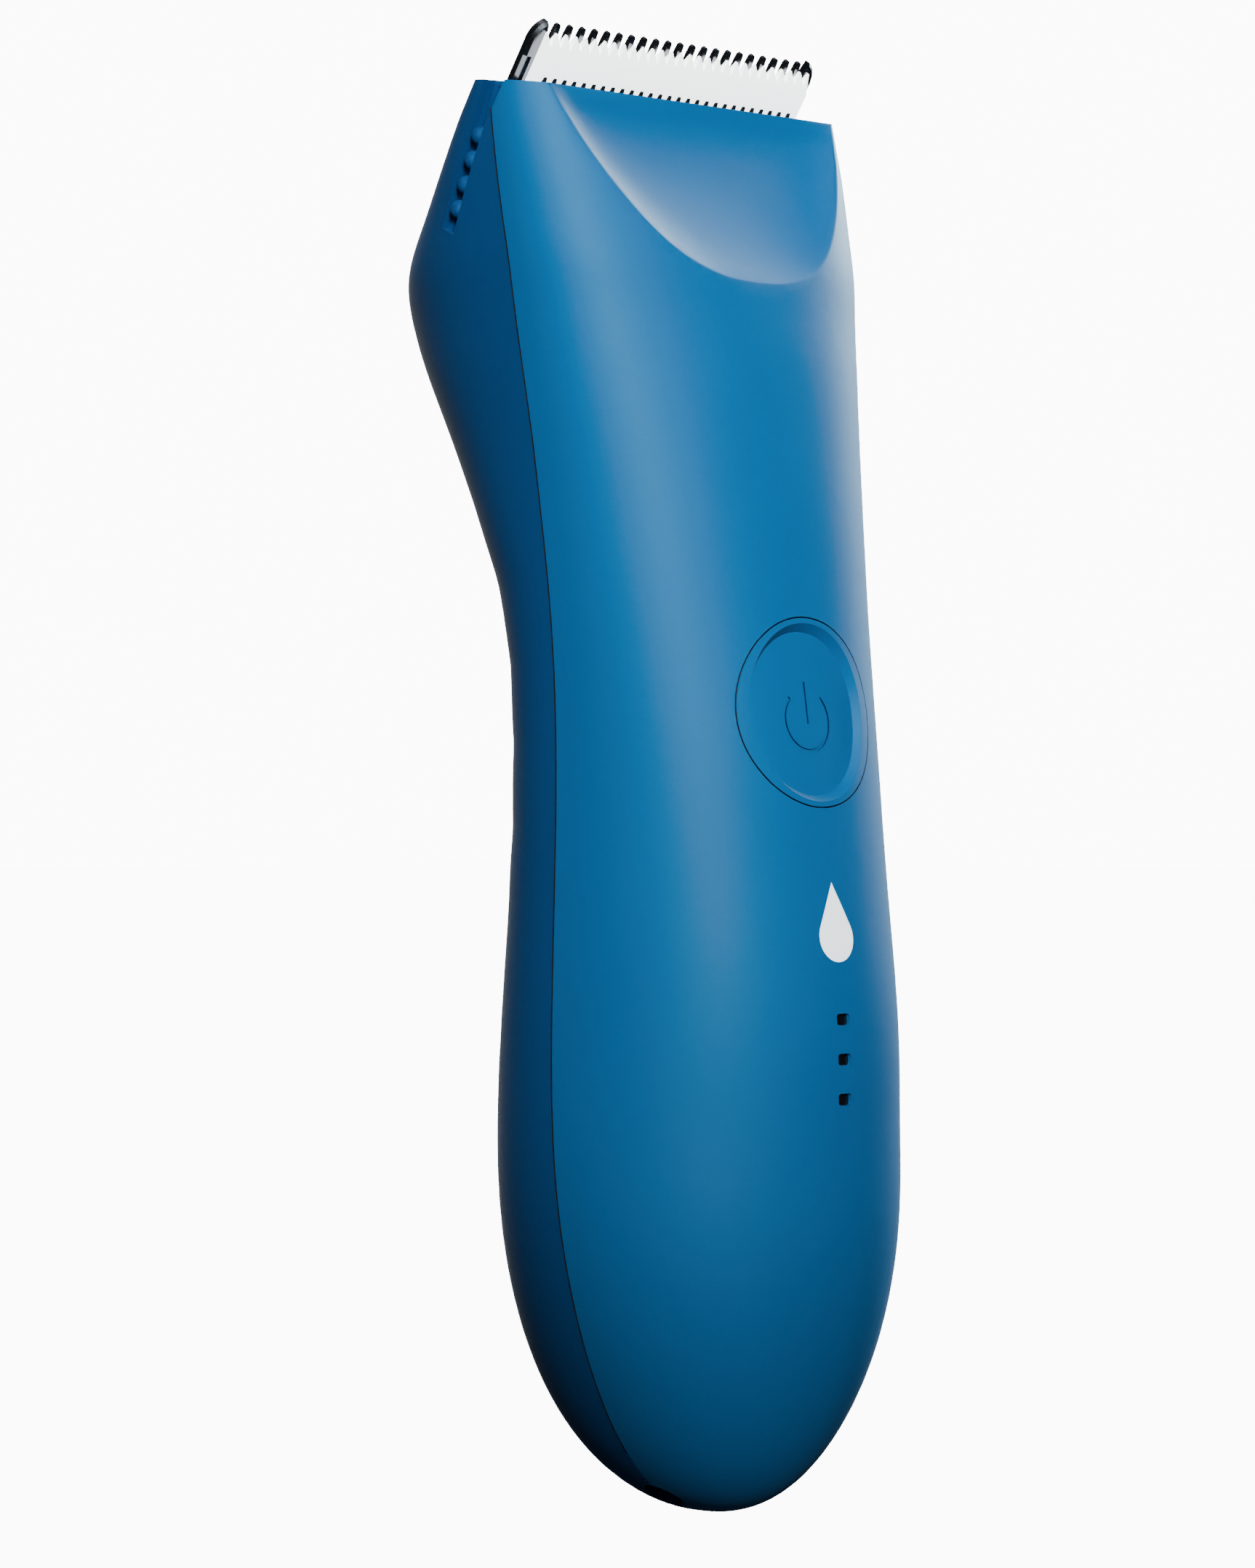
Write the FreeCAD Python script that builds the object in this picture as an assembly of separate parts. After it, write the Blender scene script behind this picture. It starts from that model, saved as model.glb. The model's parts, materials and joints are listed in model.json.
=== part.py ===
"""Body groomer: a cordless trimmer with a soft handle, a side-to-side ceramic blade and a charging foot.

Frame: +Z up along the handle, +X to the right seen from the front, the front with the button faces -Y.
The origin is on the ground plane under the handle's middle. All lengths are millimetres.
"""

import FreeCAD, Part
import math
import os

os.makedirs("parts", exist_ok=True)

# ---- driving dimensions -------------------------------------------------------------------------
TOP = 149.5                  # the halves are drawn up to here, then cut off by the sloping top
TOP_FRONT_Y, TOP_FRONT_Z, TOP_RISE = -0.7, 146.65, 0.11
FOOT = 36.0                  # height of the rounded foot, half an ellipse
FOOT_CAP = 0.03              # height of the small flat under the foot
FOOT_SHIFT = 2.0             # how far the foot's lowest point sits forward of the handle's middle
WALL = 2.0
HEAD_WALL = 2.6              # side wall beside the blade, thicker for the comb tracks
SEAM_GAP = 0.2               # parting line between the two shells
SEAM_START = 0.103           # how fast the parting line moves back with height where the foot ends

# height, half width, front depth, back depth, parting line, front fullness, back fullness
STATIONS = (
    (36.0, 20.6, 21.8, 19.4, -0.8, 2.15, 2.10),
    (50.0, 20.0, 21.7, 18.6, 0.3, 2.25, 2.15),
    (65.0, 19.2, 20.0, 17.1, 0.7, 2.35, 2.20),
    (80.0, 18.9, 17.8, 16.2, 0.8, 2.50, 2.30),
    (95.0, 19.5, 15.6, 17.8, 1.2, 2.50, 2.35),
    (104.0, 20.2, 14.3, 21.6, 1.8, 2.50, 2.40),
    (112.0, 21.0, 13.0, 25.8, 2.3, 2.50, 2.40),
    (120.0, 22.0, 11.6, 30.0, 2.9, 2.50, 2.40),
    (125.0, 22.6, 10.5, 31.5, 3.2, 2.55, 2.45),
    (129.0, 23.1, 9.6, 30.2, 3.4, 2.60, 2.70),
    (134.0, 23.5, 8.3, 24.7, 4.0, 2.60, 3.20),
    (140.0, 23.9, 6.5, 18.1, 4.6, 2.60, 3.80),
    (145.0, 24.0, 4.8, 13.2, 5.1, 2.60, 4.00),
    (149.5, 24.0, 3.2, 7.8, 5.4, 2.60, 4.00),
)

GRIP_LOW, GRIP_PITCH, GRIP_PADS, GRIP_DEPTH = 71.4, 8.2, 3, 0.2

SCOOP_TOP_Y, SCOOP_LEAN, SCOOP_DISH, SCOOP_FILLET = -0.5, 0.49, 2.2, 0.6

BUTTON_Z, BUTTON_R, BUTTON_GAP = 82.9, 9.75, 0.15
BUTTON_RIM, BUTTON_SLOPE, BUTTON_FLOOR = 1.15, 0.95, 0.9
BUTTON_BACK, STEM_END = 2.45, 3.4    # how far behind the face the cap's flange and its stem end
BUTTON_LEAN = 8.4            # degrees, the front face leans back here

WINDOW_Z = (43.6, 47.65, 51.7)
WINDOW_W, WINDOW_H, WINDOW_SINK = 1.9, 1.2, 0.4

WELL_X, WELL_Y, WELL_R, WELL_TOP = 6.6, -2.8, 2.2, 6.5

BLADE_Y, BLADE_Z, BLADE_LEAN = 4.6, 147.7, 34.0
COMB_TEETH, COMB_PITCH, COMB_TIP, COMB_THICK = 21, 1.8, 6.4, 1.0
CUTTER_TEETH, CUTTER_PITCH, CUTTER_TIP, CUTTER_THICK, CUTTER_WIDTH = 27, 1.4, 5.5, 1.25, 39.1
NOTCH_FLOOR = 0.9            # how far the notches' floor stands off the comb
NOTCH_X = [CUTTER_PITCH * (k - (CUTTER_TEETH - 1) / 2) for k in range(CUTTER_TEETH)]
STROKE = 0.8                 # the cutter moves this far to each side

MOTOR_R, MOTOR_TOP, MOTOR_LENGTH, MOTOR_N = 6.2, -16.0, 18.0, 1.6

CELL_R, CELL_LOW, CELL_LENGTH, CELL_Y = 7.0, 22.0, 50.0, 2.5
SHAFT_R, CAM_TOP, PIN_R = 0.75, -11.6, 0.75
FORK_HALF = 2 * STROKE + PIN_R + 0.1    # the fork clears the pin wherever both of them stand

BOARD_Y, BOARD_THICK, BOARD_LOW, BOARD_HIGH, BOARD_W = -9.9, 1.2, 36.0, 98.0, 22.0

FRAME_Y0, FRAME_Y1 = -7.6, -6.2
FRAME_SCREWS = ((-11.0, 24.0), (11.0, 24.0), (-11.0, 100.5), (11.0, 100.5))
BOARD_POSTS = ((-8.0, 94.0), (8.0, 94.0), (-8.0, 40.0), (8.0, 40.0))
SWITCH_HIGH, CHIP_Y = 3.1, -11.1

MARK_Z = 60.0

V = FreeCAD.Vector
X, Y, Z = V(1, 0, 0), V(0, 1, 0), V(0, 0, 1)
TRACK_FOOT, TRACK_WIDTH = (11.7, 132.0), 2.08    # a comb track's lower front corner from the side, its width
TRACK_ALONG, TRACK_ACROSS = V(-0.070, -0.467, 0.882), V(0, 0.884, 0.468)
TRACK_SIDE = 22.85    # half width of the head at the tracks' feet


# ---- small helpers ------------------------------------------------------------------------------
def save(name, *shapes):
    """Writes one node's STEP file, as one solid or as a compound of like solids."""
    solids = [s for shape in shapes for s in shape.Solids]
    body = solids[0] if len(solids) == 1 else Part.makeCompound(solids)
    body.exportStep("parts/" + name + ".step")


def box(x0, x1, y0, y1, z0, z1):
    return Part.makeBox(x1 - x0, y1 - y0, z1 - z0, V(x0, y0, z0))


def rod(radius, start, end):
    way = end - start
    return Part.makeCylinder(radius, way.Length, start, way)


def fuse(first, *others):
    return first.multiFuse(list(others)).removeSplitter()


def mirrored(shape):
    return shape.mirror(V(0, 0, 0), X)


def prism(points, way):
    """A flat outline of straight sides, pushed along a vector."""
    return Part.Face(Part.makePolygon(list(points) + [points[0]])).extrude(way)


def blade_place(shape):
    """Turns a shape drawn flat (x across, y up the blade, z out of its front) to where the blade is."""
    turned = shape.copy()
    turned.Placement = FreeCAD.Placement(V(0, BLADE_Y, BLADE_Z), FreeCAD.Rotation(X, 90 + BLADE_LEAN))
    return turned


def spline_through(xs, ys, start=0.0):
    """A smooth function through a few points: a cubic with a stated slope at its start."""
    n = len(xs)
    h = [xs[i + 1] - xs[i] for i in range(n - 1)]
    slope = [(ys[i + 1] - ys[i]) / h[i] for i in range(n - 1)]
    diag, rest, bend = [1.0] * n, [0.0] * n, [0.0] * n
    upper = [0.0] * n
    upper[0], rest[0] = 0.5, 1.5 * (slope[0] - start) / h[0]
    for i in range(1, n - 1):
        diag[i] = 2 * (h[i - 1] + h[i]) - h[i - 1] * upper[i - 1]
        upper[i] = h[i] / diag[i]
        rest[i] = (3 * (slope[i] - slope[i - 1]) - h[i - 1] * rest[i - 1]) / diag[i]
    for i in range(n - 2, -1, -1):
        bend[i] = rest[i] - upper[i] * bend[i + 1]

    def value(x):
        i = max(j for j in range(n - 1) if x >= xs[j] or j == 0)
        t = x - xs[i]
        rise = slope[i] - h[i] * (2 * bend[i] + bend[i + 1]) / 3
        return ys[i] + t * (rise + t * (bend[i] + t * (bend[i + 1] - bend[i]) / (3 * h[i])))

    return value


heights = [row[0] for row in STATIONS]
columns = [[row[k] for row in STATIONS] for k in range(1, 7)]
half_width, front_depth, back_depth, seam_line, front_full, back_full = (
    spline_through(heights, column, SEAM_START if k == 3 else 0.0) for k, column in enumerate(columns)
)


# ---- the body's form ----------------------------------------------------------------------------
def grip_valley(z):
    """The back of the handle has soft pads, divided by shallow valleys across it."""
    place = (z - GRIP_LOW) / GRIP_PITCH
    if -1e-9 <= place <= GRIP_PADS + 1e-9:
        return GRIP_DEPTH * (1 - abs(math.sin(math.pi * place)))
    return 0.0


def foot_section(z, inset):
    u = min((FOOT - z) / (FOOT - inset), 1.0)
    width, front, back, _, nf, nb = STATIONS[0][1:]
    middle = (back - front) / 2 - FOOT_SHIFT * u ** 6
    depth = ((back + front) / 2 - inset) * (1 - u ** 2.3) ** (1 / 2.2)
    seam = seam_line(FOOT) - 2.0 * math.sin(math.pi / 2 * min(u / 0.85, 1.0))
    round_full = 2.05
    fullness = [round_full + (full - round_full) * (1 - u) for full in (nf, nb)]
    return (width - inset) * math.sqrt(1 - u * u), depth - middle, depth + middle, seam, *fullness


def skin(z, inset=0.0):
    """Half width, front depth, back depth, parting line and two fullnesses at a height, less an inset."""
    if z < FOOT:
        return foot_section(z, inset)
    valley = grip_valley(z) if inset == 0 else 0.0
    front, back = front_depth(z) - inset, back_depth(z) - inset - valley
    return half_width(z) - inset, front, back, seam_line(z), front_full(z), back_full(z)


def cavity(z, inset=WALL):
    """The hollow inside: as the skin, but thicker at the sides of the head and behind the scoop."""
    if z < FOOT:
        return foot_section(z, inset)
    side = WALL + (HEAD_WALL - WALL) * min(max((z - 120.0) / 18.0, 0.0), 1.0)
    front = front_depth(z) - WALL if z < CAVITY_FRONT[0][0] else cavity_front(z)
    back = back_depth(min(z, top_z(8.0))) - WALL
    return half_width(z) - side, front, back, seam_line(z), front_full(z), back_full(z)


def half_curve(shape, z, way, gap=0.0, count=17):
    """Points of the front (way -1) or back (way +1) half of a section, ending short of the parting line."""
    a, front, back, seam, nf, nb = shape
    depth = back - seam if way > 0 else front + seam
    full = nb if way > 0 else nf
    start = math.asin(min(1.0, gap / depth))
    points = []
    for k in range(count):
        angle = start + (math.pi - 2 * start) * k / (count - 1)
        c, s = math.cos(angle), math.sin(angle)
        r = (abs(c) ** full + abs(s) ** full) ** (-1 / full)
        points.append(V(a * r * c, seam + way * depth * r * s, z))
    return points


def d_wire(points, reach, way):
    """A closed outline: a spline through the points, closed straight or by sides that reach on past it."""
    curve = Part.BSplineCurve()
    curve.interpolate(Points=points, Parameters=[k / (len(points) - 1) for k in range(len(points))])
    first, last = points[0], points[-1]
    past = Y * (-way * reach)
    corners = (last, last + past, first + past, first) if reach else (last, first)
    sides = [Part.LineSegment(p, q).toShape() for p, q in zip(corners, corners[1:])]
    return Part.Wire([curve.toShape()] + sides)


def levels(low, high):
    """Heights of the lofted sections: close together round the foot, even along the handle."""
    foot = [FOOT * (1 - math.cos(math.radians(d))) for d in (2.3, 5, 9, 14, 20, 28, 37, 47, 58, 70, 80)]
    handle = [FOOT + 4.6 * k for k in range(8)]
    grip = [GRIP_LOW + GRIP_PITCH * k / 6 for k in range(GRIP_PADS * 6 + 1)]
    neck = [99.5, 104, 108, 112, 116, 120, 123, 125, 127, 129, 131.5, 134, 137, 140, 143, 145, 147.5, 150]
    inside = [z for z in foot + handle + grip + neck if low + 0.8 < z < high - 0.8]
    return [low] + inside + [high]


def half_body(way, form=skin, inset=0.0, gap=0.0, low=FOOT_CAP, high=TOP, reach=0.0):
    """The front or back half of the body as one solid, flat on the parting line."""
    wires = [d_wire(half_curve(form(z, inset), z, way, gap), reach, way) for z in levels(low, high)]
    return Part.makeLoft(wires, True, False, False, 8)


def profile_cut(points):
    """A solid across the whole width whose side outline is given as (y, z) pairs."""
    return prism([V(-40, y, z) for y, z in points], V(80, 0, 0))


CAVITY_FRONT = (
    (100.0, 12.8), (112.0, 11.0), (120.0, 9.4), (125.0, 7.4), (130.0, 4.8),
    (137.0, 1.3), (142.0, -0.2), (147.5, -1.0), (152.0, -1.2),
)
cavity_front = spline_through([p[0] for p in CAVITY_FRONT], [p[1] for p in CAVITY_FRONT])


def top_z(y, below=0.0):
    """Height of the sloping top of the housing at a depth."""
    return TOP_FRONT_Z + TOP_RISE * (y - TOP_FRONT_Y) - below


def above_top(below=0.0):
    return profile_cut([(-40, top_z(-40, below)), (60, top_z(60, below)), (60, 175), (-40, 175)])


def ring(shape, z, count=36):
    """A closed section as one smooth spline, its points spread evenly round the middle."""
    a, front, back, seam, nf, nb = shape
    middle, half = (back - front) / 2, (back + front) / 2
    points = []
    for k in range(count):
        angle = 2 * math.pi * (k + 0.5) / count + math.radians(100)
        low, high = 0.5, 1.5
        for _ in range(40):
            r = (low + high) / 2
            x, y = r * a * math.cos(angle), middle + r * half * math.sin(angle) - seam
            depth, full = (back - seam, nb) if y > 0 else (front + seam, nf)
            if (abs(x) / a) ** full + (abs(y) / depth) ** full > 1:
                high = r
            else:
                low = r
        points.append(V(x, seam + y, z))
    curve = Part.BSplineCurve()
    curve.interpolate(Points=points, Parameters=[k / count for k in range(count + 1)], PeriodicFlag=True)
    return Part.Wire([curve.toShape()])


def hollow():
    """The whole inside of both shells as one solid."""
    return Part.makeLoft([ring(cavity(z), z) for z in levels(WALL + 0.05, 152.0)], True, False, False, 8)


# ---- features of the shells ---------------------------------------------------------------------
def scoop_cutter():
    """The dish under the blade: its rim lies in one leaning plane, and it is hollow inside the rim."""
    rows = []
    for j in range(15):
        z = 125.5 + 1.75 * j
        a, front, back, seam, nf, nb = skin(min(z, TOP))
        plane = SCOOP_TOP_Y - SCOOP_LEAN * (TOP_FRONT_Z - z)
        fade = 1 - math.exp(-max(TOP_FRONT_Z - z, 0.0) / 3.5)
        row = []
        for i in range(21):
            x = -23.0 + 2.3 * i
            outside = seam - (front + seam) * max(1 - (abs(x) / a) ** nf, 0.0) ** (1 / nf)
            row.append(V(x, plane + SCOOP_DISH * fade * math.tanh((plane - outside) / 1.6), z))
        rows.append(row)
    face = Part.BSplineSurface()
    face.interpolate(rows)
    return face.toShape().extrude(V(0, -25, 0))


def track_channel(depth, width):
    """A straight channel in the left side of the head, open at the top, its floor leaning like the side."""
    foot = V(-TRACK_SIDE, *TRACK_FOOT)
    corners = [foot - X * 3, foot - X * 3 + TRACK_ACROSS * width, foot + X * depth + TRACK_ACROSS * width]
    return prism(corners + [foot + X * depth], TRACK_ALONG * 22)


def comb_track():
    """The track that a guard comb slides in: a shallow step, a deeper channel and four round detents."""
    track = track_channel(0.8, TRACK_WIDTH).fuse(track_channel(1.45, 1.35))
    first = V(-TRACK_SIDE + 0.75, *TRACK_FOOT) + TRACK_ACROSS * 1.08 + TRACK_ALONG * 2.5
    detents = [Part.makeSphere(1.02, first + TRACK_ALONG * (2.7 * k)) for k in range(4)]
    return track.cut(Part.makeCompound(detents))


def corner_cut():
    """Trims the front shell's upper back corner so that it borders the comb track."""
    outline = ((5.15, 143.9), (2.6, 148.0), (2.6, 152.0), (9.0, 152.0), (9.0, 143.9))
    return prism([V(-26, y, z) for y, z in outline], V(3.6, 0, 0))


def cartridge_way():
    """Eases the inside of the front wall's top corners, so that the blade cartridge slides out past them."""
    return blade_place(box(-18.4, 18.4, -10, 6, 0, 3.35))


def well_cutters():
    return [rod(WELL_R, V(x, WELL_Y, -2), V(x, WELL_Y, WELL_TOP)) for x in (-WELL_X, WELL_X)]


def rounded_bar(width, height, corner, z, y0, y1):
    bar = box(-width / 2, width / 2, y0, y1, z - height / 2, z + height / 2)
    along_y = [e for e in bar.Edges if e.BoundBox.YLength > abs(y1 - y0) - 0.01]
    return bar.makeFillet(corner, along_y)


def drop_outline():
    """A plain water drop, 5 wide and 8 high, pushed through the front wall."""
    radius, tip = 2.5, 5.6
    rise = math.asin(radius / tip)
    side = V(radius * math.cos(rise), 0, radius * math.sin(rise))
    left = V(-side.x, 0, side.z)
    bulb = Part.Arc(side, V(0, 0, -radius), left).toShape()
    point = V(0, 0, tip)
    sides = [Part.LineSegment(*pair).toShape() for pair in ((left, point), (point, side))]
    face = Part.Face(Part.Wire([bulb] + sides))
    face.translate(V(0, -30, MARK_Z))
    return face.extrude(V(0, 20, 0))


def side_hook(z):
    """One of the front shell's snap hooks, reaching over the parting line inside the rear shell."""
    inner = min(cavity(z - 3)[0], cavity(z + 3)[0])
    seam = seam_line(z)
    return box(inner - 1.45, inner - 0.35, seam - 9, seam + 3, z - 3, z + 3)


def rear_boss(x, z):
    """A screw post on the rear shell's back wall, meeting the chassis plate."""
    post = rod(2.4, V(x, FRAME_Y1, z), V(x, 6.0, z))
    foot = rod(2.4, V(x, 5.0, z), V(x, 40.0, z)).common(rear_skin.translated(V(0, -0.8, 0)))
    return post.fuse(foot)


# ---- button frame -------------------------------------------------------------------------------
button_lean = math.radians(BUTTON_LEAN)
BUTTON_IN = V(0, math.cos(button_lean), -math.sin(button_lean))
BUTTON_UP = V(0, math.sin(button_lean), math.cos(button_lean))
BUTTON_FACE = V(0, -front_depth(BUTTON_Z), BUTTON_Z)


def button_rod(radius, start, end):
    return rod(radius, BUTTON_FACE + BUTTON_IN * start, BUTTON_FACE + BUTTON_IN * end)


def power_symbol():
    """A ring open at the top with an upright bar, as a cutter along the button's axis."""
    centre = BUTTON_FACE - BUTTON_UP * 0.67 - BUTTON_IN * 1
    ring = Part.makeCylinder(3.39, 5, centre, BUTTON_IN).cut(Part.makeCylinder(3.01, 5, centre, BUTTON_IN))
    opening = [centre, centre + BUTTON_UP * 6 + X * 5.8, centre + BUTTON_UP * 6 - X * 5.8]
    ring = ring.cut(prism(opening, BUTTON_IN * 5))
    low, high = centre - BUTTON_UP * 0.4, centre + BUTTON_UP * 3.95
    bar = prism([low - X * 0.19, low + X * 0.19, high + X * 0.19, high - X * 0.19], BUTTON_IN * 5)
    return ring.fuse(bar)


def button_cap(front):
    floor = front.translated(BUTTON_IN * BUTTON_FLOOR)
    under = front.translated(BUTTON_IN * BUTTON_BACK)
    behind = front.translated(BUTTON_IN * (BUTTON_BACK + 0.7))
    plug = front.common(button_rod(BUTTON_R, -3, 12)).cut(under)
    wide = BUTTON_R - BUTTON_RIM + 2.0
    narrow = BUTTON_R - BUTTON_RIM - BUTTON_SLOPE
    dish = Part.makeCone(wide, narrow, 3.4, BUTTON_FACE - BUTTON_IN * 1.6, BUTTON_IN).cut(floor)
    flange = button_rod(BUTTON_R + 1.0, -3, 12).common(under).cut(behind)
    stem = button_rod(2.0, BUTTON_BACK + 0.3, STEM_END)
    cap = fuse(plug.cut(dish), flange, stem)
    return cap.cut(power_symbol().cut(front.translated(BUTTON_IN * (BUTTON_FLOOR + 0.2))))


def button_seal(front):
    ring = button_rod(12.6, -3, 12).cut(button_rod(11.0, -3, 14))
    return ring.common(front.translated(BUTTON_IN * 2.8)).cut(front.translated(BUTTON_IN * 3.4))


# ---- blade cartridge, drawn flat: x across, y up the blade, z out of its front -------------------
def comb_ear():
    """The wide guard tooth at the left end: a rounded outer corner, bevelled edges and a lower step."""
    low, high = V(-21.0, -1.0, -COMB_THICK), V(-21.0, 3.9, -COMB_THICK)
    top, inner = V(-19.6, 6.5, -COMB_THICK), V(-19.2, 4.9, -COMB_THICK)
    corner = Part.Arc(high, V(-20.5, 5.75, -COMB_THICK), top).toShape()
    foot = V(-19.2, -1.0, -COMB_THICK)
    sides = ((low, high), (top, inner), (inner, foot), (foot, low))
    straight = [Part.LineSegment(p, q).toShape() for p, q in sides]
    outline = Part.Wire([straight[0], corner] + straight[1:])
    ear = Part.Face(outline).extrude(V(0, 0, COMB_THICK))
    front = [e for e in ear.Edges if abs(e.BoundBox.ZMin) < 1e-6 and e.BoundBox.XMin < -19.7]
    ear = ear.makeChamfer(0.32, [e for e in front if e.BoundBox.YLength > 1])
    return ear.cut(box(-22, -18.9, -2, 2.5, -0.3, 1.0))


def comb_tooth(x):
    """A slim guard tooth with a round tip, bevelled towards the tip at its front and back."""
    half, shank = 0.31, COMB_TIP - 0.31
    tooth = box(x - half, x + half, 2.4, shank, -0.72, 0)
    tooth = tooth.fuse(Part.makeCylinder(half, 0.72, V(x, shank, -0.72)))
    front = [V(x - 1, 4.6, 0.01), V(x - 1, 7.4, 0.01), V(x - 1, 7.4, -0.34)]
    back = [V(x - 1, 5.4, -0.73), V(x - 1, 7.4, -0.73), V(x - 1, 7.4, -0.5)]
    return tooth.cut([prism(front, V(2, 0, 0)), prism(back, V(2, 0, 0))])


def fixed_comb():
    plate = box(-20.0, 20.0, -3.0, 3.0, -COMB_THICK, 0).fuse(box(-15.6, 15.6, -7.0, -3.0, -COMB_THICK, 0))
    first = -COMB_PITCH * (COMB_TEETH - 1) / 2
    teeth = [comb_tooth(first + COMB_PITCH * k) for k in range(COMB_TEETH)]
    ear = comb_ear()
    comb = fuse(plate, ear, mirrored(ear), *teeth)
    holes = [rod(0.9, V(x, -5.6, -3), V(x, -5.6, 1)) for x in (-13.0, 13.0)]
    return comb.cut(holes)


def notch_outline(x, slack, z):
    """One tooth of the row where the carrier bites into the foot of the ceramic blade."""
    low, high = 0.46 - slack, 0.25 - slack
    foot, tip = -0.6, 1.05 - slack
    right = [V(x + low, foot, z), V(x + low, 0, z), V(x + high, tip, z)]
    return [V(2 * x - p.x, p.y, z) for p in right[::-1]][::-1] + right[::-1]


def ceramic_blade():
    """The moving blade: pointed teeth at the top, bevelled to the comb, and a row of notches at its foot."""
    half = CUTTER_WIDTH / 2
    root = CUTTER_TIP - 1.3
    plate = box(-half, half, -0.35, CUTTER_TIP, 0.02, CUTTER_THICK)
    bevel = [V(-half - 1, root - 0.9, CUTTER_THICK + 0.01), V(-half - 1, CUTTER_TIP + 0.6, 0.1)]
    bevel.append(V(-half - 1, CUTTER_TIP + 0.6, CUTTER_THICK + 0.01))
    gaps = [prism(bevel, V(CUTTER_WIDTH + 2, 0, 0))]
    for k in range(CUTTER_TEETH + 1):
        x = CUTTER_PITCH * (k - CUTTER_TEETH / 2)
        gap = [V(x, root, -1), V(x + 0.68, CUTTER_TIP + 0.02, -1), V(x - 0.68, CUTTER_TIP + 0.02, -1)]
        gaps.append(prism(gap, V(0, 0, 4)))
    gaps += [prism(notch_outline(x, 0.0, NOTCH_FLOOR), V(0, 0, 4)) for x in NOTCH_X]
    plate = plate.cut(gaps)
    return fuse(plate, box(-9, 9, -4.5, -0.3, 0.02, NOTCH_FLOOR))


def blade_carrier():
    """Holds the ceramic blade's foot, fills its notches, and reaches down to the motor's pin as a fork."""
    foot = box(-15, 15, -8.4, -0.55, NOTCH_FLOOR, 2.8)
    bar = box(-19.3, 19.3, -0.9, -0.4, NOTCH_FLOOR + 0.02, CUTTER_THICK)
    rise = V(0, 0, CUTTER_THICK - NOTCH_FLOOR - 0.02)
    teeth = [prism(notch_outline(x, 0.015, NOTCH_FLOOR + 0.02), rise) for x in NOTCH_X]
    middle = FORK_HALF + 0.65
    fingers = [box(x - 0.65, x + 0.65, -11.3, -8.0, 0.05, 3.1) for x in (-middle, middle)]
    return fuse(foot, bar, *teeth, *fingers)


def blade_holder():
    back = box(-19.6, 19.6, -7.5, 3.0, -2.3, -COMB_THICK - 0.02)
    posts = [box(x - 0.85, x + 0.85, -7.0, -3.6, -2.3, 3.1) for x in (-17.15, 17.15)]
    holder = fuse(back, *posts)
    return holder.cut([rod(0.8, V(x, -5.6, -2.15), V(x, -5.6, 1)) for x in (-13.0, 13.0)])


def blade_spring():
    bar = box(-16.28, 16.28, -6.4, -4.2, 2.83, 3.08)
    return bar.cut([rod(0.7, V(x, -5.3, 2), V(x, -5.3, 4)) for x in (-10.0, 10.0)])


def blade_screw(x):
    return rod(0.78, V(x, -5.6, -2.1), V(x, -5.6, 0)).fuse(rod(1.4, V(x, -5.6, 0), V(x, -5.6, 0.7)))


def along_motor(radius, start, end, across=0.0, inner=0.0):
    """A rod or tube on the motor's axis, in the blade's flat frame."""
    centre = MOTOR_N + across
    tube = rod(radius, V(0, start, centre), V(0, end, centre))
    return tube.cut(rod(inner, V(0, start - 1, centre), V(0, end + 1, centre))) if inner else tube


def motor_parts():
    low, high = MOTOR_TOP - MOTOR_LENGTH, MOTOR_TOP
    can = along_motor(MOTOR_R, low + 1.5, high).cut(along_motor(MOTOR_R - 0.6, low + 1, high - 0.8))
    can = can.cut(along_motor(SHAFT_R + 0.05, high - 1, high + 1))
    end_cap = along_motor(MOTOR_R, low, low + 1.5).fuse(along_motor(MOTOR_R - 0.65, low + 1.4, low + 2.5))
    end_cap = end_cap.cut(along_motor(SHAFT_R + 0.05, low + 1.0, low + 3))
    magnets = along_motor(MOTOR_R - 0.65, low + 3, high - 2, inner=4.6)
    magnets = magnets.cut(box(-1, 1, low, high, MOTOR_N - 10, MOTOR_N + 10))
    rotor = along_motor(4.3, low + 4, high - 3, inner=SHAFT_R)
    shaft = along_motor(SHAFT_R, low + 1.2, CAM_TOP)
    cam = along_motor(2.5, CAM_TOP - 1.8, CAM_TOP, inner=SHAFT_R)
    pin = along_motor(PIN_R, CAM_TOP, CAM_TOP + 3.0, across=STROKE)
    return can, end_cap, magnets, rotor, shaft, cam, pin


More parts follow.
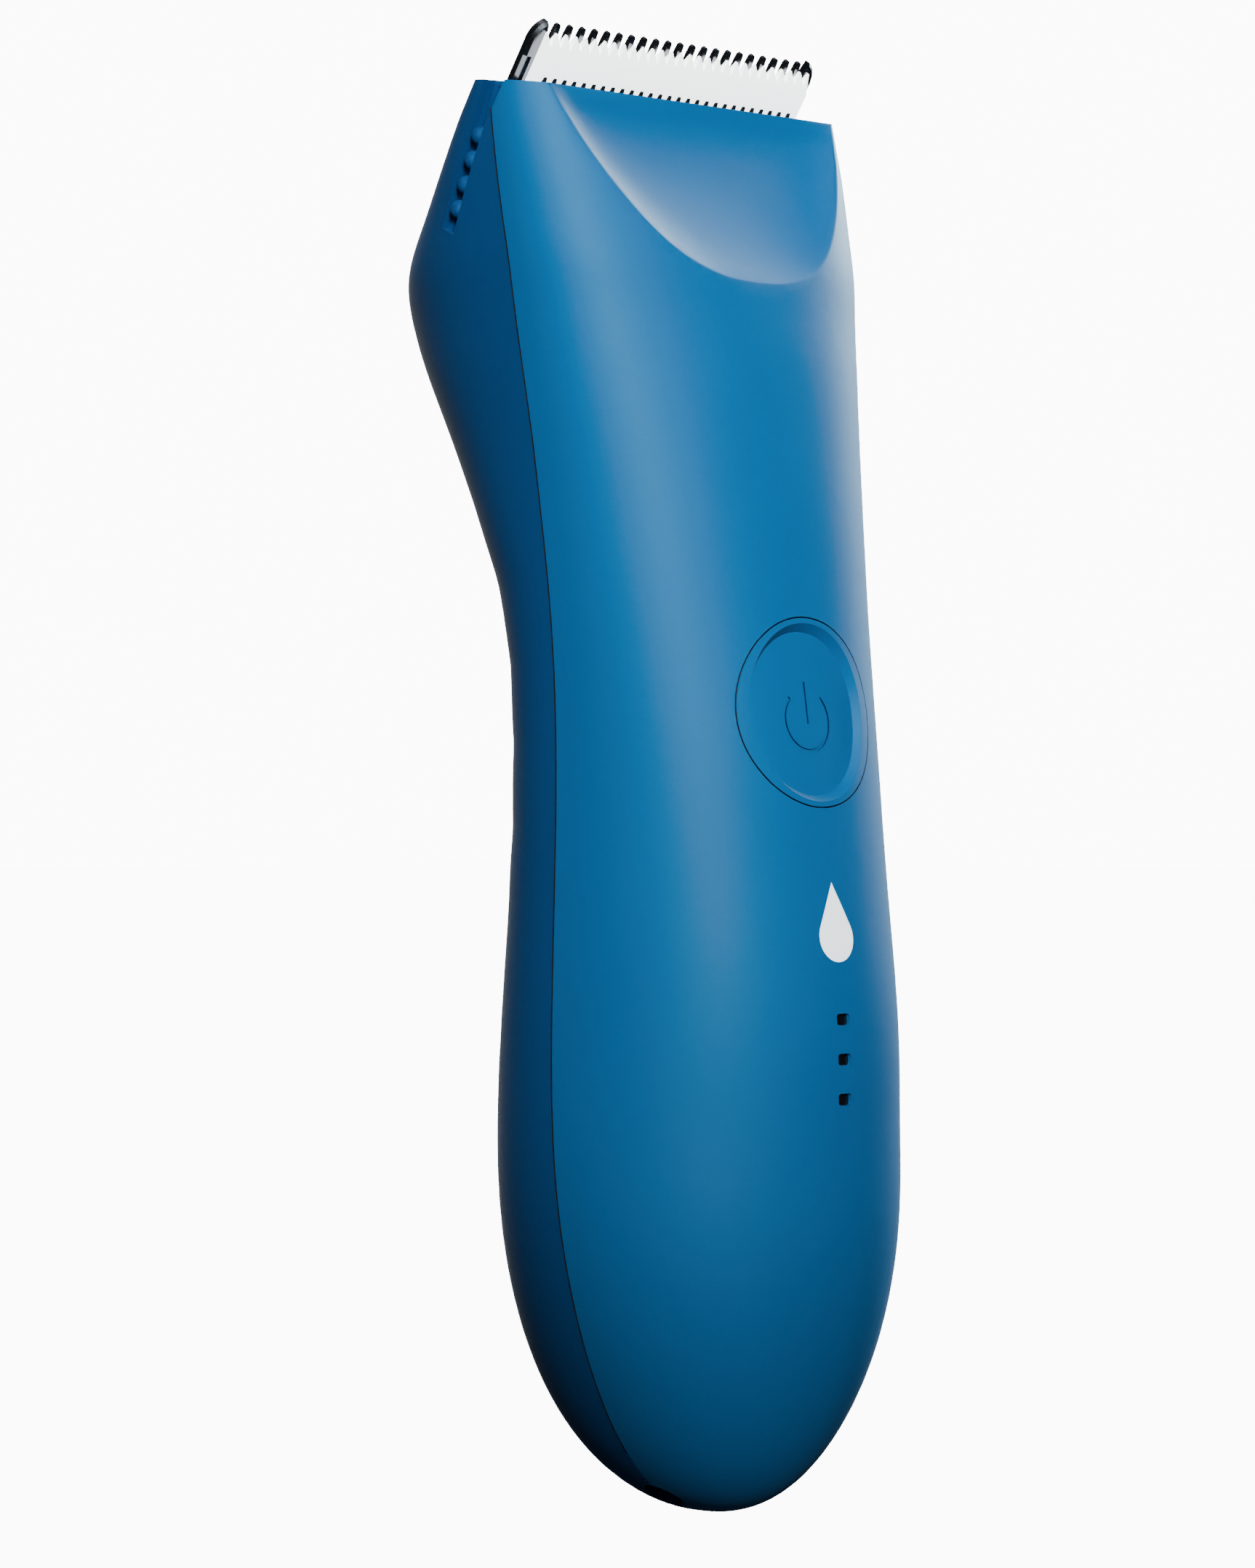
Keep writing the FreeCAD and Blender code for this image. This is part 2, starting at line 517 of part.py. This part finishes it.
# ---- chassis, battery and board -----------------------------------------------------------------
def inner_frame():
    plate = box(-12, 12, FRAME_Y0, FRAME_Y1, 20, 98).fuse(box(-13.5, 13.5, FRAME_Y0, FRAME_Y1, 95, 112))
    plate = fuse(plate, box(-13, 13, FRAME_Y0, FRAME_Y1, 21, 30))
    parts = []
    for z in (34.0, 62.0):
        rib = box(-9, 9, FRAME_Y1 - 0.1, CELL_Y - 1, z, z + 3)
        parts.append(rib.cut(rod(CELL_R + 0.1, V(0, CELL_Y, z - 1), V(0, CELL_Y, z + 4))))
    arm = [(-7.6, 100), (-6.2, 100), (-6.2, 106), (14, 116), (19, 121), (15, 126), (-7.6, 110)]
    for x in (-8.8, 7.0):
        parts.append(prism([V(x, y, z) for y, z in arm], V(1.8, 0, 0)))
    cradle = along_motor(MOTOR_R + 1.6, MOTOR_TOP - 13, MOTOR_TOP - 5, inner=MOTOR_R + 0.08)
    parts.append(blade_place(cradle.common(box(-9, 9, -40, 0, MOTOR_N, 12))))
    parts += [rod(2.2, V(x, FRAME_Y0 - 1.1, z), V(x, FRAME_Y0 + 0.1, z)) for x, z in BOARD_POSTS]
    frame = fuse(plate, *parts)
    slot = box(-5, 5, FRAME_Y0 - 1, FRAME_Y1 + 1, 103.5, 107.5)
    holes = [rod(1.1, V(x, FRAME_Y0 - 2, z), V(x, FRAME_Y1 + 2, z)) for x, z in FRAME_SCREWS]
    holes += [rod(0.8, V(x, FRAME_Y0 - 2, z), V(x, FRAME_Y0 + 1.2, z)) for x, z in BOARD_POSTS]
    return frame.cut([slot] + holes)


def screw(head_r, head, shaft_r, length, x, y, z):
    """A cylinder-head screw that points backwards from its seat, with a cross slot in its head."""
    body = rod(head_r, V(x, y - head, z), V(x, y, z)).fuse(rod(shaft_r, V(x, y, z), V(x, y + length, z)))
    arm = head_r * 0.7
    cross = box(x - arm, x + arm, y - head - 1, y - head + 0.4, z - 0.2, z + 0.2)
    cross = cross.fuse(box(x - 0.2, x + 0.2, y - head - 1, y - head + 0.4, z - arm, z + arm))
    return body.cut(cross)


def wire(points, radius=0.5):
    runs = [rod(radius, p, q) for p, q in zip(points, points[1:])]
    knees = [Part.makeSphere(radius * 1.08, p) for p in points[1:-1]]
    return fuse(runs[0], *runs[1:], *knees)


def gasket_strip():
    """A thin ribbon inside the parting line, on the left."""
    wires = []
    for z in [6.0 + 2.5 * k for k in range(55)]:
        a, seam = skin(z)[0], skin(z)[3]
        corners = [V(-a + s, seam + t, z) for s, t in ((0.6, -0.05), (1.5, -0.05), (1.5, 0.05), (0.6, 0.05))]
        wires.append(Part.makePolygon(corners + corners[:1]))
    return Part.makeLoft(wires, True, False)


# ---- build and save -----------------------------------------------------------------------------
front_skin = half_body(-1, gap=SEAM_GAP / 2)
rear_skin = half_body(1, gap=SEAM_GAP / 2)
inside = hollow()
scooped = front_skin.cut(scoop_cutter())
rim = [e for e in scooped.Edges if 126 < e.BoundBox.ZMin < 130 and e.BoundBox.XLength > 30]
front = scooped.makeFillet(SCOOP_FILLET, rim).cut(above_top())
track = comb_track()
left_cut = corner_cut()
mark_prism = drop_outline()
windows = [rounded_bar(WINDOW_W, WINDOW_H, 0.35, z, -30, -10) for z in WINDOW_Z]
front = front.cut(inside)
front = front.cut([track, mirrored(track), left_cut, mirrored(left_cut), cartridge_way()])
front = front.cut(button_rod(BUTTON_R + BUTTON_GAP, -4, 12))
mark = mark_prism.common(front_skin).cut(front_skin.translated(V(0, 0.15, 0)))
front = front.cut(well_cutters())
front = front.cut(windows)
front = front.cut(mark)
hooks = [side_hook(z) for z in (42.0, 70.0, 104.0)]
front = front.fuse(hooks + [mirrored(h) for h in hooks])
save("front_shell", front)
save("front_mark", mark)

rear = rear_skin.cut(above_top()).cut(inside)
rear = rear.cut([track, mirrored(track)])
rear = max(rear.Solids, key=lambda solid: solid.Volume)
rear = rear.cut(well_cutters())
catch_rib = blade_place(box(-6, 6, -12, -10, -5.6, -2.75))
rear = rear.fuse([catch_rib] + [rear_boss(x, z) for x, z in FRAME_SCREWS])
rear = rear.cut([rod(0.97, V(x, FRAME_Y1 - 1, z), V(x, FRAME_Y1 + 8, z)) for x, z in FRAME_SCREWS])
save("rear_shell", rear)

save("power_button", button_cap(front_skin))
save("button_seal", button_seal(front_skin))
guides = [
    rounded_bar(WINDOW_W - 0.06, WINDOW_H - 0.06, 0.32, z, -30, CHIP_Y - 0.1).common(
        front_skin.translated(V(0, WINDOW_SINK, 0))
    )
    for z in WINDOW_Z
]
save("light_guides", *guides)
save("light_chips", *[box(-0.8, 0.8, CHIP_Y, BOARD_Y, z - 0.4, z + 0.4) for z in WINDOW_Z])

save("fixed_comb", blade_place(fixed_comb()))
save("ceramic_blade", blade_place(ceramic_blade()))
save("blade_carrier", blade_place(blade_carrier()))
save("blade_holder", blade_place(blade_holder()).cut(above_top(0.1)))
save("blade_spring", blade_place(blade_spring()))
save("blade_screws", *[blade_place(blade_screw(x)) for x in (-13.0, 13.0)])
save("blade_catch", blade_place(box(-6, 6, -12, -8.2, -2.75, -2.45)))

rotating = ("motor_rotor", "motor_shaft", "eccentric_cam", "cam_pin")
for name, part in zip(("motor_can", "motor_end_cap", "motor_magnets") + rotating, motor_parts()):
    save(name, blade_place(part))
save("inner_frame", inner_frame())
save("frame_screws", *[screw(2.0, 1.2, 0.95, 8.0, x, FRAME_Y0, z) for x, z in FRAME_SCREWS])

board = box(-BOARD_W / 2, BOARD_W / 2, BOARD_Y, BOARD_Y + BOARD_THICK, BOARD_LOW, BOARD_HIGH)
board = board.cut([rod(0.9, V(x, BOARD_Y - 1, z), V(x, BOARD_Y + 3, z)) for x, z in BOARD_POSTS])
save("circuit_board", board)
save("board_screws", *[screw(1.6, 1.0, 0.78, 2.8, x, BOARD_Y, z) for x, z in BOARD_POSTS])
switch = box(-3, 3, BOARD_Y - SWITCH_HIGH, BOARD_Y, BUTTON_Z - 3.4, BUTTON_Z + 2.6)
save("click_switch", switch.cut(button_rod(1.8, 0, STEM_END + 2.6)))
save("switch_plunger", button_rod(1.65, STEM_END + 0.05, STEM_END + 1.9))

save("battery_cell", rod(CELL_R, V(0, CELL_Y, CELL_LOW), V(0, CELL_Y, CELL_LOW + CELL_LENGTH)))
ends = (CELL_LOW - 0.3, CELL_LOW + CELL_LENGTH)
save("battery_tabs", *[box(-2.5, 2.5, CELL_Y - 5, CELL_Y + 5, z, z + 0.3) for z in ends])

cups = [rod(3.3, V(x, WELL_Y, 1), V(x, WELL_Y, WELL_TOP + 2)) for x in (-WELL_X, WELL_X)]
pins = [rod(1.0, V(x, WELL_Y, WELL_TOP), V(x, WELL_Y, WELL_TOP + 3)) for x in (-WELL_X, WELL_X)]
save("contact_cups", inside.common(Part.makeCompound(cups)).cut(well_cutters() + pins))
save("contact_pins", *pins)
route = [V(WELL_X, WELL_Y, 9.5), V(WELL_X, WELL_Y, 12), V(6.0, -9.3, 19), V(6.0, -9.3, BOARD_LOW)]
wire_left = wire(route)
save("charge_wires", wire_left, mirrored(wire_left))
motor_foot = blade_place(Part.Vertex(2.5, MOTOR_TOP - MOTOR_LENGTH, MOTOR_N + 2.0)).Point
bends = [V(2.5, 10, 109.5), V(2.5, -5, 105.5), V(2.5, -9.3, 104), V(2.5, -9.3, BOARD_HIGH)]
route = [motor_foot, motor_foot + V(0, 0.559, -0.829) * 1.6] + bends
wire_right = wire(route)
save("motor_wires", wire_right, mirrored(wire_right))

strip = gasket_strip()
save("housing_gasket", strip, mirrored(strip))
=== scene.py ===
"""The look of the body groomer: materials, shading, floor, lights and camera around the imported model."""

import json
import math

import bpy
import numpy as np
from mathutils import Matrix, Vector

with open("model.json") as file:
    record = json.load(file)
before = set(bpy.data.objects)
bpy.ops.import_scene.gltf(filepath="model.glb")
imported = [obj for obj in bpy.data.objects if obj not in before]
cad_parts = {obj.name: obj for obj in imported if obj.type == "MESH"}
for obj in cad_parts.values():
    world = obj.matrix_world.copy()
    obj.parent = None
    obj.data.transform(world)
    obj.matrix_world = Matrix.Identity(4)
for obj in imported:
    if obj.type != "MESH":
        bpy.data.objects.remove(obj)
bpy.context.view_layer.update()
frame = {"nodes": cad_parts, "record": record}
nodes = frame["nodes"]


# ---- shading ------------------------------------------------------------------------------------
def shade(obj, limit):
    """Smooth shading: every corner averages the faces round its point that lie within the angle limit."""
    mesh = obj.data
    count = len(mesh.loops)
    points = np.empty(len(mesh.vertices) * 3)
    mesh.vertices.foreach_get("co", points)
    points = points.reshape(-1, 3)
    corner_point = np.empty(count, int)
    mesh.loops.foreach_get("vertex_index", corner_point)
    _, merged = np.unique(np.round(points * 1e6).astype(np.int64), axis=0, return_inverse=True)
    group = merged.ravel()[corner_point].reshape(-1, 3)
    tri = points[corner_point].reshape(-1, 3, 3)
    normal = np.cross(tri[:, 1] - tri[:, 0], tri[:, 2] - tri[:, 0])
    area = np.linalg.norm(normal, axis=1)
    normal /= np.maximum(area, 1e-20)[:, None]
    weight = np.empty((len(tri), 3))
    for k in range(3):
        a = tri[:, (k + 1) % 3] - tri[:, k]
        b = tri[:, (k + 2) % 3] - tri[:, k]
        cosine = (a * b).sum(1) / np.maximum(np.linalg.norm(a, axis=1) * np.linalg.norm(b, axis=1), 1e-20)
        weight[:, k] = np.arccos(np.clip(cosine, -1, 1))
    flat_group, flat_weight = group.ravel(), weight.ravel()
    face_of = np.repeat(np.arange(len(tri)), 3)
    order = np.argsort(flat_group, kind="stable")
    starts = np.searchsorted(flat_group[order], np.arange(flat_group.max() + 2))
    size = np.diff(starts)
    total = np.zeros((count, 3))
    for shift in range(int(size.max())):
        place = np.arange(count) - starts[flat_group[order]]
        other = order[starts[flat_group[order]] + (place + shift) % size[flat_group[order]]]
        alike = (normal[face_of[order]] * normal[face_of[other]]).sum(1) > math.cos(limit)
        use = alike & (shift < size[flat_group[order]])
        total[order] += normal[face_of[other]] * (flat_weight[other] * use)[:, None]
    total /= np.maximum(np.linalg.norm(total, axis=1), 1e-20)[:, None]
    mesh.polygons.foreach_set("use_smooth", np.ones(len(mesh.polygons), bool))
    mesh.normals_split_custom_set([tuple(n) for n in total])


SMOOTH_LIMIT = math.radians(34)
for part in nodes.values():
    shade(part, SMOOTH_LIMIT)


# ---- materials ----------------------------------------------------------------------------------
def rgb(red, green, blue):
    """A linear colour from an sRGB one given in 0 to 255."""
    out = []
    for value in (red, green, blue):
        value /= 255
        out.append(value / 12.92 if value <= 0.04045 else ((value + 0.055) / 1.055) ** 2.4)
    return (*out, 1.0)


def link(tree, source, output, target, entry):
    tree.links.new(source.outputs[output], target.inputs[entry])


def material(name, colour, rough, metallic=0.0, grain=2500.0, bump=0.03, vary=0.06, rough_vary=0.06,
             stretch=(1, 1, 1), sheen=0.0, coat=0.0, specular=0.5, tint=(1, 1, 1), emission=None):
    """A procedural finish: a fine grain in the bump, and a slower drift in the colour and roughness."""
    made = bpy.data.materials.new(name)
    made.use_nodes = True
    tree = made.node_tree
    new = tree.nodes.new
    surface = tree.nodes["Principled BSDF"]
    surface.inputs["Metallic"].default_value = metallic
    surface.inputs["Specular IOR Level"].default_value = specular
    surface.inputs["Specular Tint"].default_value = (*tint, 1.0)
    surface.inputs["Sheen Weight"].default_value = sheen
    surface.inputs["Sheen Roughness"].default_value = 0.35
    surface.inputs["Sheen Tint"].default_value = (0.75, 0.88, 1.0, 1.0)
    surface.inputs["Coat Weight"].default_value = coat
    surface.inputs["Coat Roughness"].default_value = 0.12
    # painted glow: where emission is given, the surface shines in its own colour on top of the light it
    # reflects
    if emission:
        surface.inputs["Emission Color"].default_value = colour
        surface.inputs["Emission Strength"].default_value = emission
    place = new("ShaderNodeTexCoord")
    scaled = new("ShaderNodeMapping")
    scaled.inputs["Scale"].default_value = stretch
    link(tree, place, "Object", scaled, "Vector")
    drift = new("ShaderNodeTexNoise")
    drift.inputs["Scale"].default_value = grain / 45
    drift.inputs["Detail"].default_value = 3
    link(tree, scaled, "Vector", drift, "Vector")
    fine = new("ShaderNodeTexNoise")
    fine.inputs["Scale"].default_value = grain
    fine.inputs["Detail"].default_value = 4
    fine.inputs["Roughness"].default_value = 0.6
    link(tree, scaled, "Vector", fine, "Vector")
    blend = new("ShaderNodeMix")
    blend.data_type = "RGBA"
    blend.inputs["A"].default_value = tuple(c * (1 - vary) for c in colour[:3]) + (1,)
    blend.inputs["B"].default_value = tuple(min(c * (1 + vary), 1) for c in colour[:3]) + (1,)
    link(tree, drift, "Fac", blend, "Factor")
    link(tree, blend, "Result", surface, "Base Color")
    spread = new("ShaderNodeMapRange")
    spread.inputs["To Min"].default_value = max(rough - rough_vary, 0.02)
    spread.inputs["To Max"].default_value = min(rough + rough_vary, 1.0)
    link(tree, fine, "Fac", spread, "Value")
    link(tree, spread, "Result", surface, "Roughness")
    rise = new("ShaderNodeBump")
    rise.inputs["Strength"].default_value = bump
    rise.inputs["Distance"].default_value = 0.0001
    link(tree, fine, "Fac", rise, "Height")
    link(tree, rise, "Normal", surface, "Normal")
    return made


STEEL = rgb(190, 190, 188)
LOOKS = {
    "body_blue": dict(colour=rgb(8, 86, 142), rough=0.60, grain=5200, bump=0.10, vary=0.03, sheen=0.02,
                      specular=0.42, tint=(0.46, 0.90, 1.0)),
    "rear_blue": dict(colour=rgb(11, 62, 112), rough=0.60, grain=5200, bump=0.10, vary=0.03, sheen=0.01,
                      specular=0.22, tint=(0.5, 0.86, 1.0)),
    # painted shade: a darker blue for the walls of the sunken power symbol
    "symbol_shade_blue": dict(colour=rgb(4, 44, 84), rough=0.60, grain=5200, bump=0.10, vary=0.03, specular=0.1),
    # painted glow: the white print is given emission, so it shines brighter than the lamps light it
    "mark_white": dict(colour=rgb(238, 241, 244), rough=0.5, grain=4200, bump=0.03, vary=0.015,
                       emission=1.2),
    "seal_black": dict(colour=rgb(14, 15, 18), rough=0.6, grain=1800, bump=0.1),
    "window_black": dict(colour=rgb(8, 9, 12), rough=0.2, grain=900, bump=0.01, coat=0.4),
    "led": dict(colour=rgb(235, 236, 220), rough=0.4, grain=2400, bump=0.02),
    "comb_black": dict(colour=rgb(112, 114, 119), rough=0.25, metallic=1.0, grain=2600, bump=0.04,
                       vary=0.10),
    # painted glow: the ceramic blade is given emission, so it shines brighter than the lamps light it
    "ceramic": dict(colour=rgb(243, 243, 243), rough=0.3, grain=900, bump=0.02, vary=0.012, coat=0.1,
                    emission=3.0),
    "inner_black": dict(colour=rgb(24, 25, 28), rough=0.5, grain=2600, bump=0.08),
    "spring_steel": dict(colour=STEEL, rough=0.28, metallic=1.0, grain=900, bump=0.05, stretch=(0.1, 1, 1)),
    "screw_steel": dict(colour=rgb(176, 178, 180), rough=0.3, metallic=1.0, grain=1600, bump=0.06),
    "motor_steel": dict(colour=rgb(196, 197, 198), rough=0.26, metallic=1.0, grain=900, bump=0.04,
                        stretch=(1, 1, 0.2)),
    "motor_plastic": dict(colour=rgb(222, 216, 196), rough=0.45, grain=2000, bump=0.05),
    "magnet": dict(colour=rgb(62, 63, 66), rough=0.7, grain=1500, bump=0.2),
    "rotor": dict(colour=rgb(196, 112, 60), rough=0.32, metallic=1.0, grain=700, bump=0.3,
                  stretch=(0.2, 1, 1)),
    "cam": dict(colour=rgb(226, 226, 220), rough=0.38, grain=2000, bump=0.03),
    "chassis": dict(colour=rgb(206, 208, 208), rough=0.5, grain=2200, bump=0.06),
    "board_green": dict(colour=rgb(26, 96, 56), rough=0.3, grain=1500, bump=0.05, vary=0.2, coat=0.3),
    "switch_grey": dict(colour=rgb(52, 53, 56), rough=0.45, grain=2200, bump=0.05),
    "cell": dict(colour=rgb(34, 118, 92), rough=0.25, grain=900, bump=0.02, coat=0.5),
    "nickel": dict(colour=rgb(204, 200, 190), rough=0.3, metallic=1.0, grain=1500, bump=0.05),
    "gold": dict(colour=rgb(226, 186, 98), rough=0.2, metallic=1.0, grain=1500, bump=0.03),
    "wire": dict(colour=rgb(150, 26, 26), rough=0.45, grain=1800, bump=0.05),
}
FINISHES = {name: material(name, **look) for name, look in LOOKS.items()}
for entry in frame["record"]["subparts"]:
    obj = nodes[entry["node"]]
    obj.data.materials.clear()
    obj.data.materials.append(FINISHES[entry["material_slot"]])


def paint_shade(obj, finish, chosen):
    """Paints shade: gives another material to the faces that a rule chooses by their middle and normal."""
    obj.data.materials.append(FINISHES[finish])
    for face in obj.data.polygons:
        if chosen(face.center, face.normal):
            face.material_index = len(obj.data.materials) - 1


BUTTON_LEAN = math.radians(8.4)
BUTTON_IN = Vector((0, math.cos(BUTTON_LEAN), -math.sin(BUTTON_LEAN)))
BUTTON_MIDDLE = Vector((0, -0.01740, 0.0829))
GAP_INNER, GAP_OUTER = 0.0094, 0.0101    # the gap round the button lies between these radii
SYMBOL_REACH, SYMBOL_DEPTH = 0.0055, 0.0016
SEAM_LOW, SEAM_HIGH = 0.004, 0.146       # heights between which the parting line runs
SEAM_INNER, SEAM_DEPTH = 0.012, 0.0066   # its faces lie further out and nearer the middle plane than these
ACROSS = 0.2                             # a face whose normal has less than this along an axis runs along it


def parting(way):
    """The faces where the two shells meet, painted dark as the shade in the gap between them."""
    def rule(middle, normal):
        beside = abs(middle.x) > SEAM_INNER and abs(middle.y) < SEAM_DEPTH
        return normal.y * way > 0.97 and beside and SEAM_LOW < middle.z < SEAM_HIGH
    return rule


def from_button(middle):
    """How deep a point lies behind the button's face, and how far from the button's axis."""
    out = middle - BUTTON_MIDDLE
    depth = out.dot(BUTTON_IN)
    return depth, (out - BUTTON_IN * depth).length


def button_gap_shade_faces(middle, normal):
    """The walls of the narrow gap round the button, painted black as the shade that falls in the gap."""
    _, radius = from_button(middle)
    return GAP_INNER < radius < GAP_OUTER and abs(normal.dot(BUTTON_IN)) < ACROSS


def symbol_shade_faces(middle, normal):
    """The side walls of the sunken power symbol, painted darker blue as the shade that falls in the symbol.
    """
    depth, radius = from_button(middle)
    return radius < SYMBOL_REACH and 0 < depth < SYMBOL_DEPTH and abs(normal.dot(BUTTON_IN)) < ACROSS


# painted shade: the faces where the two shells meet are painted black as the shade in the gap between them
paint_shade(nodes["front_shell"], "seal_black", parting(1))
paint_shade(nodes["rear_shell"], "seal_black", parting(-1))
# painted shade: the walls of the gap round the button are painted black as the shade in that gap
paint_shade(nodes["front_shell"], "seal_black", button_gap_shade_faces)
paint_shade(nodes["power_button"], "seal_black", button_gap_shade_faces)
# painted shade: the walls of the sunken power symbol are painted darker blue as the shade in them
paint_shade(nodes["power_button"], "symbol_shade_blue", symbol_shade_faces)


# ---- floor, sky, lights, camera -----------------------------------------------------------------
FLOOR_Z, FLOOR_REACH = -0.22, 14.0
corners = [(x * FLOOR_REACH, y * FLOOR_REACH, FLOOR_Z) for x, y in ((-1, -1), (1, -1), (1, 1), (-1, 1))]
floor_mesh = bpy.data.meshes.new("floor")
floor_mesh.from_pydata(corners, [], [(0, 1, 2, 3)])
floor = bpy.data.objects.new("floor", floor_mesh)
bpy.context.scene.collection.objects.link(floor)
floor.visible_diffuse = False
floor.visible_glossy = False
paper = bpy.data.materials.new("paper")
paper.use_nodes = True
paper_inputs = paper.node_tree.nodes["Principled BSDF"].inputs
paper_inputs["Base Color"].default_value = (0.9, 0.9, 0.9, 1)
paper_inputs["Roughness"].default_value = 1.0
paper_inputs["Specular IOR Level"].default_value = 0.0
paper_inputs["Emission Color"].default_value = (1, 1, 1, 1)
paper_inputs["Emission Strength"].default_value = 11.0
floor_mesh.materials.append(paper)

world = bpy.data.worlds.new("studio")
bpy.context.scene.world = world
world.use_nodes = True
sky = world.node_tree
seen = sky.nodes["Background"]
seen.inputs["Color"].default_value = (1, 1, 1, 1)
seen.inputs["Strength"].default_value = 11.5
around = sky.nodes.new("ShaderNodeBackground")
around.inputs["Color"].default_value = (0.75, 0.87, 1, 1)
around.inputs["Strength"].default_value = 0.04
ray = sky.nodes.new("ShaderNodeLightPath")
either = sky.nodes.new("ShaderNodeMixShader")
link(sky, ray, "Is Camera Ray", either, 0)
sky.links.new(around.outputs[0], either.inputs[1])
sky.links.new(seen.outputs[0], either.inputs[2])
sky.links.new(either.outputs[0], sky.nodes["World Output"].inputs["Surface"])

CENTRE = Vector((0, 0, 0.078))


def softbox(name, towards, distance, width, height, power, colour=(1, 1, 1), aim=CENTRE, spread=180):
    """A soft rectangular light that stands off from a point of the object and faces it."""
    lamp = bpy.data.lights.new(name, "AREA")
    lamp.shape = "RECTANGLE"
    lamp.size, lamp.size_y = width, height
    lamp.energy = power
    lamp.color = colour
    lamp.spread = math.radians(spread)
    obj = bpy.data.objects.new(name, lamp)
    obj.visible_camera = False
    bpy.context.scene.collection.objects.link(obj)
    way = Vector(towards).normalized()
    obj.location = aim + way * distance
    obj.rotation_euler = (-way).to_track_quat("-Z", "Y").to_euler()
    return obj


def from_azimuth(azimuth, elevation):
    """A direction from its compass angle, 0 in front and 90 on the right, and its height angle."""
    a, e = math.radians(azimuth), math.radians(elevation)
    return math.sin(a) * math.cos(e), -math.cos(a) * math.cos(e), math.sin(e)


HEAD = Vector((0, 0, 0.128))
softbox("key", from_azimuth(-38, 22), 0.75, 0.40, 0.21, 0.55, (0.88, 1.0, 1.0), HEAD, 18)
softbox("fill", from_azimuth(-10, 10), 1.1, 0.5, 0.3, 0.035, (0.86, 1.0, 1.0), HEAD, 20)
softbox("rim", from_azimuth(102, 24), 0.7, 0.30, 0.25, 0.66, (0.84, 0.98, 1.0), HEAD, 26)
softbox("back", from_azimuth(140, 10), 1.0, 0.9, 0.9, 5.0, (0.9, 0.95, 1.0))
softbox("behind", from_azimuth(-176, 15), 1.0, 0.7, 0.9, 0.6, (0.9, 0.95, 1.0))
softbox("top", from_azimuth(-60, 75), 0.9, 0.5, 0.5, 1.0)

camera_data = bpy.data.cameras.new("camera")
camera = bpy.data.objects.new("camera", camera_data)
bpy.context.scene.collection.objects.link(camera)
camera.location = (-0.35456, -0.34520, 0.07484)
camera.rotation_euler = (math.radians(90), 0, math.radians(-45))
camera_data.sensor_width = 36.0
camera_data.lens = 108.63
camera_data.shift_y = 0.0046
camera_data.clip_start, camera_data.clip_end = 0.01, 100
bpy.context.scene.camera = camera
